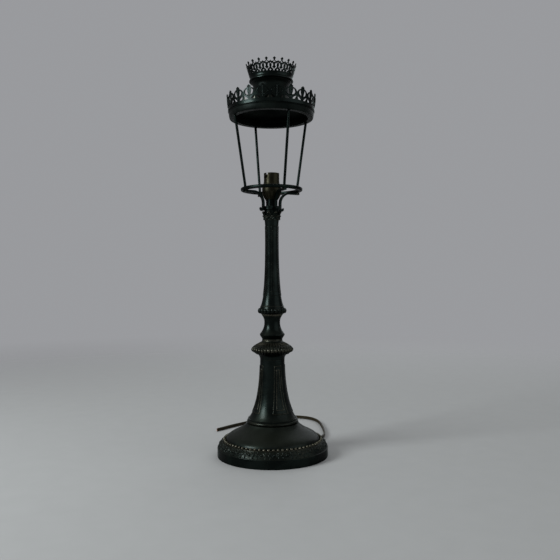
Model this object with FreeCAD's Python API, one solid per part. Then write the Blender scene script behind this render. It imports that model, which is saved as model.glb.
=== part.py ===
import FreeCAD, Part
import math
import os

# A table lamp built like a small street lantern: foot, baluster column, leaf capital,
# ring on scroll brackets, four slanting rods and an open hood with two pierced galleries.
# Millimetres, +Z up. The origin is on the table under the column's axis, and the four
# rods stand on the X and Y axes.

# Fits
SLIP = 0.1
RUNNING = 0.08
STOP_GAP = 0.1

# Tie tube that pulls the column together, with its nut and washer
TUBE_RADIUS = 5.0
TUBE_BORE = 3.6
TUBE_BELOW_NUT = 2.5
TUBE_ABOVE_CUP_FLOOR = 1.0
NUT_FLATS = 14.0
NUT_HEIGHT = 5.0
WASHER_RADIUS = 11.0
WASHER_THICKNESS = 1.6

# Foot
RIM_RADIUS = 88.0
RIM_HEIGHT = 14.5
RIM_EDGE = 1.2
BAND_RUN = 7.5
BAND_RISE = 9.5
DOME_RISE = 27.5
DOME_STEP = 2.0
FOOT_WALL = 3.0
HUB_MARGIN = 0.5
HUB_THICKNESS = 6.0
BEAD_WIDTH = 4.6
BEAD_PLINTH = 1.2
FOOT_RING_SWELL = 1.7
FOOT_RING_WIDTH = 11.0
FOOT_RING_HEIGHT = 5.5

# Pedestal
PEDESTAL_HEIGHT = 95.5
PEDESTAL_FLANGE_RADIUS = 39.3
PEDESTAL_FLANGE_HEIGHT = 2.2
PEDESTAL_STEP = 1.3
PEDESTAL_TOP_RADIUS = 19.6
PEDESTAL_WALL = 3.0
PEDESTAL_WEB = 6.0

# Wide knop, spool and bead collar
WIDE_KNOP_HEIGHT = 30.5
WIDE_KNOP_RADIUS = 33.0
WIDE_KNOP_NECK_RADIUS = 16.2
WIDE_KNOP_COVE_RADIUS = 22.9
SPOOL_HEIGHT = 41.0
SPOOL_RIDGE_RADIUS = 19.8
SPOOL_WAIST_RADIUS = 12.6
SPOOL_TOP_RADIUS = 17.3
BEAD_COLLAR_HEIGHT = 12.7
BEAD_COLLAR_RADIUS = 23.2
BEAD_COLLAR_EDGE_RADIUS = 20.5

# Shaft, capital and neck
SHAFT_HEIGHT = 137.6
SHAFT_FOOT_RADIUS = 18.8
SHAFT_RADIUS = 10.45
SHAFT_TOP_RADIUS = 11.8
CAPITAL_HEIGHT = 21.7
CAPITAL_BELL_RADIUS = 12.2
ABACUS_HEIGHT = 5.2
ABACUS_FLATS = 26.2
ABACUS_CORNER_RADIUS = 15.6
LEAF_COUNT = 8
LEAF_WIDTH = 7.0
LOWER_LEAF_REACH = 14.2
LOWER_LEAF_RISE = 7.0
UPPER_LEAF_REACH = 15.6
UPPER_LEAF_RISE = 13.5
NECK_HEIGHT = 11.0
NECK_RADIUS = 8.3

# Lantern: brackets, ring and rods
LANTERN_COUNT = 4
BRACKET_THICKNESS = 3.4
BRACKET_WIDTH = 4.8
BRACKET_BEND = 17.6
BRACKET_SCROLL_BEND = 2.1
BRACKET_SCROLL_TURN = 215.0
BRACKET_PEG_RADIUS = 1.2
BRACKET_PEG_LENGTH = 4.0
RING_RISE = 24.5
RING_RADIUS = 49.4
RING_WIDTH = 8.6
RING_HEIGHT = 5.0
RING_ROUND = 1.8
ROD_RADIUS = 2.1
ROD_INSET = 3.6
ROD_TAIL = 1.5
ROD_SEAT_DEPTH = 3.5
LANTERN_HEIGHT = 115.5

# Hood
HOOD_RING_RADIUS = 65.9
HOOD_RING_WIDTH = 7.4
HOOD_RING_HEIGHT = 5.0
HOOD_WALL = 1.4
HOOD_LEDGE = 1.5
HOOD_RIM_SWELL = 1.9
HOOD_RIM_HEIGHT = 13.5
HOOD_BEAD = 0.9
HOOD_ROOF_RISE = 34.0
HOOD_VENT_RADIUS = 27.6
HOOD_COLLAR_HEIGHT = 2.0
NECK_SPIGOT_LENGTH = 4.0
CHIMNEY_WALL = 2.0
CHIMNEY_HEIGHT = 8.5
CHIMNEY_FLARE = 3.6

# Pierced galleries
GALLERY_COUNT = 20
GALLERY_THICKNESS = 1.3
PIERCE_DEPTH = 8.0
HOOD_GALLERY_HEIGHT = 26.5
HOOD_GALLERY_SPLAY = 3.2
HOOD_GALLERY_DROP = 3.0
CROWN_HEIGHT = 28.5
CROWN_OVERHANG = 2.7
CROWN_SPLAY = 5.5
CROWN_FLANGE = 1.8
CROWN_SEAT = 3.0
CROWN_EDGE = 0.8
CROWN_HOLLOW = 1.1
CROWN_DOT_RADIUS = 1.1
CROWN_EYE_RADIUS = 0.8

# Lampholder
CUP_HEIGHT = 17.0
CUP_FOOT_RADIUS = 10.3
CUP_RADIUS = 15.3
CUP_FLOOR = 4.0
CUP_WELL_RADIUS = 8.0
CUP_WELL_DEPTH = 6.0
CUP_SPIGOT_RADIUS = 13.9
CUP_SPIGOT_HEIGHT = 4.0
FLUTE_COUNT = 16
FLUTE_RADIUS = 1.1
SHELL_HEIGHT = 25.0
SHELL_RADIUS = 12.3
SHELL_FLARE_HEIGHT = 14.0
SOCKET_RADIUS = 11.2
SOCKET_DEPTH = 12.0
SOCKET_RELIEF = 0.4
SLOT_COUNT = 2
SLOT_ANGLE = 27.0
SLOT_WIDTH = 3.2
SLOT_DEPTH = 8.0
SLOT_TURN = 24.0
SLOT_HOOK = 1.4
INSULATOR_RADIUS = 11.3
INSULATOR_HEIGHT = 14.0
INSULATOR_ROOF = 2.0
PLUNGER_SPACING = 11.0
PLUNGER_TIP_RADIUS = 2.3
PLUNGER_SHOULDER_RADIUS = 2.8
PLUNGER_SHOULDER_HEIGHT = 3.0
PLUNGER_PROUD = 5.0
PLUNGER_DOME = 1.2
PLUNGER_FLAT_RADIUS = 0.9
SPRING_RADIUS = 1.9
SPRING_WIRE = 0.25
SPRING_TURNS = 5
TERMINAL_HEIGHT = 3.0
TERMINAL_HOLE_RADIUS = 0.9
TERMINAL_HOLE_DEPTH = 1.5

# Flex, its bush and the leads
FLEX_DIAMETER = 6.0
FLEX_HEIGHT = 7.5
FLEX_ANGLE = 20.0
FLEX_INNER_BEND = 24.0
BUSH_RADIUS = 4.8
BUSH_FLANGE_RADIUS = 6.4
BUSH_FLANGE = 2.4
BUSH_TAIL = 2.0
LEAD_RADIUS = 0.9

# Route of the free flex over the table, from the bush to its cut end
FLEX_ROUTE = [
    (103.9, 37.8, 5.6),
    (128.0, 57.0, 3.0),
    (148.0, 92.5, 3.0),
    (167.0, 136.0, 3.0),
    (178.5, 170.0, 3.0),
    (177.5, 200.0, 3.0),
    (160.0, 223.0, 3.0),
    (131.0, 234.0, 3.0),
    (99.0, 234.0, 3.0),
    (68.0, 225.5, 3.0),
    (40.0, 216.0, 3.0),
    (8.0, 203.5, 3.0),
    (-24.2, 187.6, 3.0),
]

# Radii that follow from the pieces beside them
BEAD_CIRCLE = RIM_RADIUS - RIM_EDGE - BAND_RUN - BEAD_WIDTH / 2
FOOT_RING_RADIUS = PEDESTAL_FLANGE_RADIUS + FOOT_RING_SWELL
FOOT_RING_BORE = FOOT_RING_RADIUS - FOOT_RING_WIDTH
HUB_RADIUS = FOOT_RING_RADIUS + HUB_MARGIN
RING_BORE = RING_RADIUS - RING_WIDTH
ROD_FOOT_CIRCLE = RING_RADIUS - ROD_INSET
HOOD_RING_BORE = HOOD_RING_RADIUS - HOOD_RING_WIDTH
ROD_HEAD_CIRCLE = HOOD_RING_RADIUS - HOOD_RING_WIDTH / 2
HOOD_RIM_RADIUS = HOOD_RING_RADIUS + HOOD_RIM_SWELL
HOOD_GALLERY_TOP_RADIUS = HOOD_RIM_RADIUS + HOOD_GALLERY_SPLAY
CHIMNEY_TOP_RADIUS = HOOD_VENT_RADIUS + HOOD_WALL + CHIMNEY_FLARE
CROWN_FOOT_RADIUS = CHIMNEY_TOP_RADIUS + CROWN_OVERHANG
CROWN_TOP_RADIUS = CROWN_FOOT_RADIUS + CROWN_SPLAY
CROWN_BORE = CHIMNEY_TOP_RADIUS - CROWN_SEAT

# Heights that follow from the stack
BEAD_SEAT_Z = RIM_HEIGHT + BAND_RISE
FOOT_TOP_Z = BEAD_SEAT_Z + DOME_RISE
HUB_UNDER_Z = FOOT_TOP_Z - HUB_THICKNESS
PEDESTAL_Z = FOOT_TOP_Z + FOOT_RING_HEIGHT
WIDE_KNOP_Z = PEDESTAL_Z + PEDESTAL_HEIGHT
SPOOL_Z = WIDE_KNOP_Z + WIDE_KNOP_HEIGHT
BEAD_COLLAR_Z = SPOOL_Z + SPOOL_HEIGHT
SHAFT_Z = BEAD_COLLAR_Z + BEAD_COLLAR_HEIGHT
CAPITAL_Z = SHAFT_Z + SHAFT_HEIGHT
NECK_Z = CAPITAL_Z + CAPITAL_HEIGHT
CUP_Z = NECK_Z + NECK_HEIGHT
INSULATOR_Z = CUP_Z + CUP_FLOOR + CUP_WELL_DEPTH
SHELL_Z = CUP_Z + CUP_HEIGHT
SHELL_TOP_Z = SHELL_Z + SHELL_HEIGHT
RING_Z = NECK_Z + RING_RISE
HOOD_Z = RING_Z + LANTERN_HEIGHT
HOOD_SHOULDER_Z = HOOD_Z + HOOD_RIM_HEIGHT
CHIMNEY_Z = HOOD_SHOULDER_Z + HOOD_ROOF_RISE + HOOD_COLLAR_HEIGHT
CROWN_Z = CHIMNEY_Z + CHIMNEY_HEIGHT

TUBE_HOLE = TUBE_RADIUS + SLIP
ORIGIN = FreeCAD.Vector(0, 0, 0)
UP = FreeCAD.Vector(0, 0, 1)


def side(r, z):
    """A point of a radial section, in the XZ plane."""
    return FreeCAD.Vector(r, 0, z)


def front(y, z):
    """A point of a cut-out's outline, in the YZ plane."""
    return FreeCAD.Vector(0, y, z)


def outline(place, start, *spans):
    """A closed face. A span is its end point, or a point to pass and an end, or two handles and an end."""
    edges = []
    here = place(*start)
    for span in spans + ((start,),):
        points = [here] + [place(*p) for p in span]
        here = points[-1]
        if len(points) == 2 and points[0].distanceToPoint(here) < 1e-6:
            continue
        if len(points) == 2:
            edges.append(Part.makeLine(*points))
        elif len(points) == 3:
            edges.append(Part.Arc(*points).toShape())
        else:
            bezier = Part.BezierCurve()
            bezier.setPoles(points)
            edges.append(bezier.toShape())
    return Part.Face(Part.Wire(edges))


def turned(start, *spans):
    """A solid of revolution about the lamp's axis."""
    return outline(side, start, *spans).revolve(ORIGIN, UP, 360)


def around(shape, count, first=0.0):
    """Copies of a shape spread evenly round the axis."""
    copies = []
    for i in range(count):
        copy = shape.copy()
        copy.rotate(ORIGIN, UP, first + 360.0 * i / count)
        copies.append(copy)
    return copies


def drum(radius, height, r=0.0, z=0.0):
    """An upright cylinder that stands on (r, 0, z)."""
    return Part.makeCylinder(radius, height, side(r, z))


def strap(r, z, heading, moves, thickness, width):
    """A bent strap in a radial plane. A move is a run length, or a bend as (radius, degrees)."""
    half = thickness / 2
    left, right = [], []

    def offset(point, angle, distance):
        return point + side(-math.sin(angle), math.cos(angle)) * distance

    point, angle = side(r, z), math.radians(heading)
    for move in moves:
        if isinstance(move, tuple):
            radius, turn = move[0], math.radians(move[1])
            centre = offset(point, angle, math.copysign(radius, turn))
            stops = []
            for share in (0.0, 0.5, 1.0):
                stop_angle = angle + turn * share
                stops.append((offset(centre, stop_angle, -math.copysign(radius, turn)), stop_angle))
            left.append(Part.Arc(*[offset(p, a, half) for p, a in stops]).toShape())
            right.append(Part.Arc(*[offset(p, a, -half) for p, a in stops]).toShape())
            point, angle = stops[-1]
        else:
            end = point + side(math.cos(angle), math.sin(angle)) * move
            left.append(Part.makeLine(offset(point, angle, half), offset(end, angle, half)))
            right.append(Part.makeLine(offset(point, angle, -half), offset(end, angle, -half)))
            point = end
    start = side(r, z)
    first = math.radians(heading)
    caps = [
        Part.makeLine(offset(start, first, half), offset(start, first, -half)),
        Part.makeLine(offset(point, angle, half), offset(point, angle, -half)),
    ]
    face = Part.Face(Part.Wire(Part.__sortEdges__(left + right + caps)))
    solid = face.extrude(FreeCAD.Vector(0, width, 0))
    solid.translate(FreeCAD.Vector(0, -width / 2, 0))
    return solid


def route_wire(points, share=0.45):
    """Straight runs joined by tangent arcs as large as the runs allow, with the arcs' radii."""
    edges, radii = [], []
    here = points[0]
    for before, corner, after in zip(points, points[1:], points[2:]):
        back = before - corner
        on = after - corner
        reach = share * min(back.Length, on.Length)
        back.normalize()
        on.normalize()
        half_turn = (math.pi - back.getAngle(on)) / 2
        radius = reach / math.tan(half_turn)
        inward = back + on
        inward.normalize()
        middle = corner + inward * (radius / math.cos(half_turn) - radius)
        first = corner + back * reach
        last = corner + on * reach
        edges.append(Part.LineSegment(here, first).toShape())
        edges.append(Part.Arc(first, middle, last).toShape())
        radii.append(radius)
        here = last
    edges.append(Part.LineSegment(here, points[-1]).toShape())
    return Part.Wire(edges), radii


def tube_on(wire, radius):
    """A solid round tube along a wire."""
    start = wire.OrderedVertexes[0].Point
    ahead = wire.OrderedEdges[0].tangentAt(wire.OrderedEdges[0].FirstParameter)
    ring = Part.Wire(Part.makeCircle(radius, start, ahead))
    return wire.makePipeShell([ring], True, False)


def save(name, shape):
    shape.exportStep("parts/" + name + ".step")


def foot():
    """Hollow cast foot: plain rim, sloping band, seat for the beaded ring, ogee dome and hub."""
    bead_out = BEAD_CIRCLE + BEAD_WIDTH / 2
    bead_in = BEAD_CIRCLE - BEAD_WIDTH / 2
    dome_half = DOME_RISE / 2
    edge_in = RIM_RADIUS - RIM_EDGE
    slope = edge_in - bead_out
    dome_run = bead_in - HUB_RADIUS
    corner = RIM_EDGE * (1 - math.sqrt(0.5))
    body = turned(
        (RIM_RADIUS, 0),
        ((RIM_RADIUS, RIM_HEIGHT - RIM_EDGE),),
        ((RIM_RADIUS - corner, RIM_HEIGHT - corner), (edge_in, RIM_HEIGHT)),
        ((edge_in - 0.28 * slope, RIM_HEIGHT + 0.45 * BAND_RISE),
         (bead_out + 0.3 * slope, BEAD_SEAT_Z - 0.08 * BAND_RISE), (bead_out, BEAD_SEAT_Z)),
        ((bead_in, BEAD_SEAT_Z),),
        ((bead_in, BEAD_SEAT_Z + DOME_STEP),),
        ((bead_in - 0.1 * dome_run, BEAD_SEAT_Z + dome_half),
         (HUB_RADIUS + 0.3 * dome_run, FOOT_TOP_Z - dome_half), (HUB_RADIUS, FOOT_TOP_Z)),
        ((TUBE_HOLE, FOOT_TOP_Z),),
        ((TUBE_HOLE, HUB_UNDER_Z),),
        ((HUB_RADIUS - FOOT_WALL, HUB_UNDER_Z),),
        ((HUB_RADIUS + 0.3 * dome_run - FOOT_WALL, FOOT_TOP_Z - dome_half - FOOT_WALL),
         (bead_in - 0.1 * dome_run - FOOT_WALL, BEAD_SEAT_Z + dome_half - FOOT_WALL),
         (bead_in - FOOT_WALL, BEAD_SEAT_Z - FOOT_WALL)),
        ((bead_out - FOOT_WALL / 2, BEAD_SEAT_Z - FOOT_WALL),),
        ((RIM_RADIUS - FOOT_WALL, RIM_HEIGHT - FOOT_WALL),),
        ((RIM_RADIUS - FOOT_WALL, 0),),
    )
    return body.cut(flex_direction(bush_drum(BUSH_RADIUS + SLIP, -BUSH_TAIL * 2, FOOT_WALL + BUSH_TAIL * 4)))


def bush_drum(radius, start, length):
    """A cylinder along the flex's way out, measured outward from the rim's inner face."""
    inner = RIM_RADIUS - FOOT_WALL
    return Part.makeCylinder(radius, length, side(inner + start, FLEX_HEIGHT), FreeCAD.Vector(1, 0, 0))


def flex_direction(shape):
    shape.rotate(ORIGIN, UP, FLEX_ANGLE)
    return shape


def cord_bush():
    """Bush pushed through the rim, with a flange outside and a bore that holds the flex."""
    body = bush_drum(BUSH_RADIUS, -BUSH_TAIL, BUSH_TAIL + FOOT_WALL)
    flange = bush_drum(BUSH_FLANGE_RADIUS, FOOT_WALL, BUSH_FLANGE)
    bore = bush_drum(FLEX_DIAMETER / 2, -BUSH_TAIL, BUSH_TAIL + FOOT_WALL + BUSH_FLANGE)
    return flex_direction(body.fuse(flange).removeSplitter().cut(bore))


def foot_bead_ring():
    """Half-round ring on a plinth, in the step between band and dome."""
    half = BEAD_WIDTH / 2
    spring_z = BEAD_SEAT_Z + BEAD_PLINTH
    return turned(
        (BEAD_CIRCLE - half, BEAD_SEAT_Z),
        ((BEAD_CIRCLE + half, BEAD_SEAT_Z),),
        ((BEAD_CIRCLE + half, spring_z),),
        ((BEAD_CIRCLE, spring_z + half), (BEAD_CIRCLE - half, spring_z)),
    )


def foot_ring():
    """Half-round ring between the foot and the pedestal."""
    half = FOOT_RING_HEIGHT / 2
    flat = FOOT_RING_RADIUS - half
    return turned(
        (FOOT_RING_BORE, FOOT_TOP_Z),
        ((flat, FOOT_TOP_Z),),
        ((FOOT_RING_RADIUS, FOOT_TOP_Z + half), (flat, PEDESTAL_Z)),
        ((FOOT_RING_BORE, PEDESTAL_Z),),
    )


def tie_tube():
    bottom = HUB_UNDER_Z - WASHER_THICKNESS - NUT_HEIGHT - TUBE_BELOW_NUT
    top = CUP_Z + CUP_FLOOR + TUBE_ABOVE_CUP_FLOOR
    return drum(TUBE_RADIUS, top - bottom, z=bottom).cut(drum(TUBE_BORE, top - bottom, z=bottom))


def tie_washer():
    bottom = HUB_UNDER_Z - WASHER_THICKNESS
    return drum(WASHER_RADIUS, WASHER_THICKNESS, z=bottom).cut(drum(TUBE_HOLE, WASHER_THICKNESS, z=bottom))


def tie_nut():
    """Hexagon nut with its corners turned off."""
    bottom = HUB_UNDER_Z - WASHER_THICKNESS - NUT_HEIGHT
    corner = NUT_FLATS / math.sqrt(3)
    points = [FreeCAD.Vector(corner, 0, bottom)]
    for i in range(1, 7):
        turn = math.radians(60 * i)
        points.append(FreeCAD.Vector(corner * math.cos(turn), corner * math.sin(turn), bottom))
    block = Part.Face(Part.makePolygon(points)).extrude(UP * NUT_HEIGHT)
    chamfer = corner - NUT_FLATS / 2
    blank = turned(
        (TUBE_HOLE, bottom),
        ((corner - chamfer, bottom),),
        ((corner, bottom + chamfer / 2),),
        ((corner, bottom + NUT_HEIGHT),),
        ((TUBE_HOLE, bottom + NUT_HEIGHT),),
    )
    return block.common(blank)


def pedestal():
    """Hollow flared casting with a flange below and a web above."""
    base = PEDESTAL_Z + PEDESTAL_FLANGE_HEIGHT
    rise = PEDESTAL_HEIGHT - PEDESTAL_FLANGE_HEIGHT
    top = WIDE_KNOP_Z
    flare = PEDESTAL_FLANGE_RADIUS - PEDESTAL_STEP
    spread = flare - PEDESTAL_TOP_RADIUS
    low_handle = (flare - 0.58 * spread, base + 0.15 * rise)
    high_handle = (PEDESTAL_TOP_RADIUS, base + 0.46 * rise)
    return turned(
        (PEDESTAL_FLANGE_RADIUS, PEDESTAL_Z),
        ((PEDESTAL_FLANGE_RADIUS, base),),
        ((flare, base),),
        (low_handle, high_handle, (PEDESTAL_TOP_RADIUS, top)),
        ((TUBE_HOLE, top),),
        ((TUBE_HOLE, top - PEDESTAL_WEB),),
        ((PEDESTAL_TOP_RADIUS - PEDESTAL_WALL, top - PEDESTAL_WEB),),
        ((high_handle[0] - PEDESTAL_WALL, high_handle[1]),
         (low_handle[0] - PEDESTAL_WALL, low_handle[1]), (flare - PEDESTAL_WALL, base)),
        ((flare - PEDESTAL_WALL, PEDESTAL_Z),),
    )


def wide_knop():
    """Turned knop: cove below, full rounded lip, domed top running in to a narrow neck."""
    z, h = WIDE_KNOP_Z, WIDE_KNOP_HEIGHT
    lip_in = WIDE_KNOP_RADIUS - 0.05 * WIDE_KNOP_RADIUS
    crown_run = lip_in - WIDE_KNOP_NECK_RADIUS
    return turned(
        (TUBE_HOLE, z),
        ((PEDESTAL_TOP_RADIUS, z),),
        ((PEDESTAL_TOP_RADIUS, z + 0.12 * h), (WIDE_KNOP_COVE_RADIUS - 1, z + 0.22 * h),
         (WIDE_KNOP_COVE_RADIUS, z + 0.24 * h)),
        ((lip_in, z + 0.42 * h),),
        ((WIDE_KNOP_RADIUS, z + 0.51 * h), (lip_in, z + 0.6 * h)),
        ((lip_in - 0.25 * crown_run, z + 0.78 * h), (WIDE_KNOP_NECK_RADIUS + 0.5, z + 0.86 * h),
         (WIDE_KNOP_NECK_RADIUS, z + h)),
        ((TUBE_HOLE, z + h),),
    )


def spool_knop():
    """Waisted spool with a sharp ridge low down."""
    z, h = SPOOL_Z, SPOOL_HEIGHT
    ridge = SPOOL_RIDGE_RADIUS
    drop = ridge - SPOOL_WAIST_RADIUS
    return turned(
        (TUBE_HOLE, z),
        ((WIDE_KNOP_NECK_RADIUS, z),),
        ((WIDE_KNOP_NECK_RADIUS, z + 0.05 * h),),
        ((ridge, z + 0.19 * h),),
        ((ridge, z + 0.235 * h),),
        ((ridge - 0.75 * drop, z + 0.4 * h), (SPOOL_WAIST_RADIUS, z + 0.52 * h),
         (SPOOL_WAIST_RADIUS, z + 0.7 * h)),
        ((SPOOL_WAIST_RADIUS, z + 0.85 * h), (SPOOL_TOP_RADIUS - 2, z + 0.92 * h),
         (SPOOL_TOP_RADIUS, z + h)),
        ((TUBE_HOLE, z + h),),
    )


def bead_collar():
    """Turned collar with a round nose."""
    z, h = BEAD_COLLAR_Z, BEAD_COLLAR_HEIGHT
    return turned(
        (TUBE_HOLE, z),
        ((SPOOL_TOP_RADIUS, z),),
        ((BEAD_COLLAR_EDGE_RADIUS, z + 0.2 * h),),
        ((BEAD_COLLAR_RADIUS, z + 0.45 * h), (BEAD_COLLAR_EDGE_RADIUS, z + 0.7 * h)),
        ((SHAFT_FOOT_RADIUS, z + h),),
        ((TUBE_HOLE, z + h),),
    )


def shaft():
    """Slender upper column, flared at its foot and a little at its head."""
    z, h = SHAFT_Z, SHAFT_HEIGHT
    spread = SHAFT_FOOT_RADIUS - SHAFT_RADIUS
    waist_z = z + 0.8 * h
    return turned(
        (TUBE_HOLE, z),
        ((SHAFT_FOOT_RADIUS, z),),
        ((SHAFT_FOOT_RADIUS - 0.54 * spread, z + 0.065 * h), (SHAFT_RADIUS, z + 0.25 * h),
         (SHAFT_RADIUS, waist_z)),
        ((SHAFT_RADIUS, z + 0.91 * h), (SHAFT_TOP_RADIUS - 0.9, z + 0.97 * h), (SHAFT_TOP_RADIUS, z + h)),
        ((TUBE_HOLE, z + h),),
    )


def leaf(root_z, rise, reach):
    """One leaf of the capital: it lies on the bell, then curls out to a rounded point."""
    bell = CAPITAL_BELL_RADIUS - 1.0
    tip_z = root_z + rise
    blade = outline(
        side,
        (bell, root_z),
        ((bell + 1.6, root_z),),
        ((bell + 1.9, root_z + 0.5 * rise), (reach - 2.4, tip_z - 0.3 * rise), (reach, tip_z - 1.6)),
        ((reach + 0.3, tip_z - 0.5), (reach - 0.8, tip_z)),
        ((reach - 2.2, tip_z - 0.4), (bell, tip_z), (bell, tip_z - 0.2 * rise)),
    )
    solid = blade.extrude(FreeCAD.Vector(0, LEAF_WIDTH, 0))
    solid.translate(FreeCAD.Vector(0, -LEAF_WIDTH / 2, 0))
    half = LEAF_WIDTH / 2
    window = outline(
        front,
        (-0.6 * half, root_z),
        ((0.6 * half, root_z),),
        ((half, root_z + 0.5 * rise), (0.3 * half, tip_z)),
        ((-0.3 * half, tip_z),),
        ((-half, root_z + 0.5 * rise), (-0.6 * half, root_z)),
    ).extrude(FreeCAD.Vector(2 * reach, 0, 0))
    return solid.common(window)


def capital():
    """Bell with two rows of curled leaves under a square top with rounded corners."""
    bell_top = NECK_Z - ABACUS_HEIGHT
    bell = turned(
        (TUBE_HOLE, CAPITAL_Z),
        ((SHAFT_TOP_RADIUS, CAPITAL_Z),),
        ((CAPITAL_BELL_RADIUS, bell_top),),
        ((TUBE_HOLE, bell_top),),
    )
    half = ABACUS_FLATS / 2
    top = Part.makeBox(ABACUS_FLATS, ABACUS_FLATS, ABACUS_HEIGHT, FreeCAD.Vector(-half, -half, bell_top))
    top = top.common(drum(ABACUS_CORNER_RADIUS, ABACUS_HEIGHT, z=bell_top))
    top = top.cut(drum(TUBE_HOLE, ABACUS_HEIGHT, z=bell_top))
    lower = around(leaf(CAPITAL_Z + 0.4, LOWER_LEAF_RISE, LOWER_LEAF_REACH), LEAF_COUNT, 180.0 / LEAF_COUNT)
    upper = around(leaf(CAPITAL_Z + 4.0, UPPER_LEAF_RISE - 4.0, UPPER_LEAF_REACH), LEAF_COUNT)
    body = bell.fuse([top] + lower + upper).removeSplitter()
    hole = Part.makeCylinder(
        BRACKET_PEG_RADIUS + SLIP, BRACKET_PEG_LENGTH + SLIP,
        side(half - BRACKET_PEG_LENGTH - SLIP, peg_z()), FreeCAD.Vector(1, 0, 0),
    )
    return body.cut(around(hole, LANTERN_COUNT))


def peg_z():
    return NECK_Z - ABACUS_HEIGHT / 2


def neck_sleeve():
    return drum(NECK_RADIUS, NECK_HEIGHT, z=NECK_Z).cut(drum(TUBE_HOLE, NECK_HEIGHT, z=NECK_Z))


def bracket():
    """Scroll bracket: curl at the capital, upright, one wide bend outward and a flat end under the ring."""
    seat = ABACUS_FLATS / 2 + BRACKET_THICKNESS / 2
    level = RING_Z - BRACKET_THICKNESS / 2
    end = RING_RADIUS - RING_ROUND / 4
    arm = strap(
        seat, peg_z(), 90.0,
        [level - BRACKET_BEND - peg_z(), (BRACKET_BEND, -90.0), end - seat - BRACKET_BEND],
        BRACKET_THICKNESS, BRACKET_WIDTH,
    )
    scroll = strap(
        seat, peg_z(), -90.0,
        [BRACKET_PEG_RADIUS, (BRACKET_SCROLL_BEND, BRACKET_SCROLL_TURN)],
        BRACKET_THICKNESS, BRACKET_WIDTH,
    )
    peg = Part.makeCylinder(
        BRACKET_PEG_RADIUS, BRACKET_PEG_LENGTH,
        side(ABACUS_FLATS / 2 - BRACKET_PEG_LENGTH, peg_z()), FreeCAD.Vector(1, 0, 0),
    )
    hole = drum(ROD_RADIUS + SLIP, 2 * BRACKET_THICKNESS, ROD_FOOT_CIRCLE, RING_Z - 1.5 * BRACKET_THICKNESS)
    return arm.fuse([scroll, peg]).removeSplitter().cut(hole)


def rod_holes(circle, bottom, height):
    return around(drum(ROD_RADIUS + SLIP, height, circle, bottom), LANTERN_COUNT)


def lantern_ring():
    """Flat ring with rounded edges, drilled for the four rods."""
    ring = turned(
        (RING_BORE, RING_Z),
        ((RING_RADIUS, RING_Z),),
        ((RING_RADIUS, RING_Z + RING_HEIGHT),),
        ((RING_BORE, RING_Z + RING_HEIGHT),),
    )
    ring = ring.makeFillet(RING_ROUND, ring.Edges)
    return ring.cut(rod_holes(ROD_FOOT_CIRCLE, RING_Z, RING_HEIGHT))


def rod():
    """Rod with upright ends: riveted under the bracket, screwed into the hood's ring."""
    points = [
        side(ROD_FOOT_CIRCLE, RING_Z - BRACKET_THICKNESS),
        side(ROD_FOOT_CIRCLE, RING_Z + RING_HEIGHT + ROD_TAIL),
        side(ROD_HEAD_CIRCLE, HOOD_Z - ROD_TAIL),
        side(ROD_HEAD_CIRCLE, HOOD_Z + ROD_SEAT_DEPTH - SLIP),
    ]
    wire, _ = route_wire(points, share=0.3)
    return tube_on(wire, ROD_RADIUS)


def hood_ring():
    """Ring in the hood's lower edge, with a blind hole for each rod."""
    ring = turned(
        (HOOD_RING_BORE, HOOD_Z),
        ((HOOD_RING_RADIUS, HOOD_Z),),
        ((HOOD_RING_RADIUS, HOOD_Z + HOOD_RING_HEIGHT),),
        ((HOOD_RING_BORE, HOOD_Z + HOOD_RING_HEIGHT),),
    )
    return ring.cut(rod_holes(ROD_HEAD_CIRCLE, HOOD_Z, ROD_SEAT_DEPTH))


def hood_shell():
    """Roof with a moulded rim that sits over the hood ring, and a collar round the vent."""
    ledge_z = HOOD_Z + HOOD_RING_HEIGHT
    skirt_in = HOOD_RING_RADIUS + SLIP
    wall_in = HOOD_RING_RADIUS - HOOD_LEDGE
    bead_z = HOOD_SHOULDER_Z - 0.3 * HOOD_RIM_HEIGHT
    collar_out = HOOD_VENT_RADIUS + HOOD_WALL
    roof_top = CHIMNEY_Z - HOOD_COLLAR_HEIGHT
    roof_run = HOOD_RIM_RADIUS - collar_out
    shoulder_in = HOOD_SHOULDER_Z - HOOD_WALL
    return turned(
        (skirt_in, HOOD_Z),
        ((skirt_in + 0.4 * HOOD_WALL, HOOD_Z),),
        ((HOOD_RIM_RADIUS - 0.4, HOOD_Z + 1.5), (HOOD_RIM_RADIUS, HOOD_Z + 4.5),
         (HOOD_RIM_RADIUS, bead_z - HOOD_BEAD)),
        ((HOOD_RIM_RADIUS + HOOD_BEAD, bead_z), (HOOD_RIM_RADIUS, bead_z + HOOD_BEAD)),
        ((HOOD_RIM_RADIUS, HOOD_SHOULDER_Z),),
        ((HOOD_RIM_RADIUS - 0.45 * roof_run, HOOD_SHOULDER_Z + 0.1 * HOOD_ROOF_RISE),
         (collar_out + 0.1 * roof_run, HOOD_SHOULDER_Z + 0.35 * HOOD_ROOF_RISE), (collar_out, roof_top)),
        ((collar_out, CHIMNEY_Z),),
        ((HOOD_VENT_RADIUS, CHIMNEY_Z),),
        ((HOOD_VENT_RADIUS, roof_top),),
        ((collar_out + 0.1 * roof_run - HOOD_WALL, HOOD_SHOULDER_Z + 0.35 * HOOD_ROOF_RISE - HOOD_WALL),
         (HOOD_RIM_RADIUS - 0.45 * roof_run - HOOD_WALL, HOOD_SHOULDER_Z + 0.1 * HOOD_ROOF_RISE - HOOD_WALL),
         (wall_in, shoulder_in)),
        ((wall_in, ledge_z),),
        ((skirt_in, ledge_z),),
    )


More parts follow.
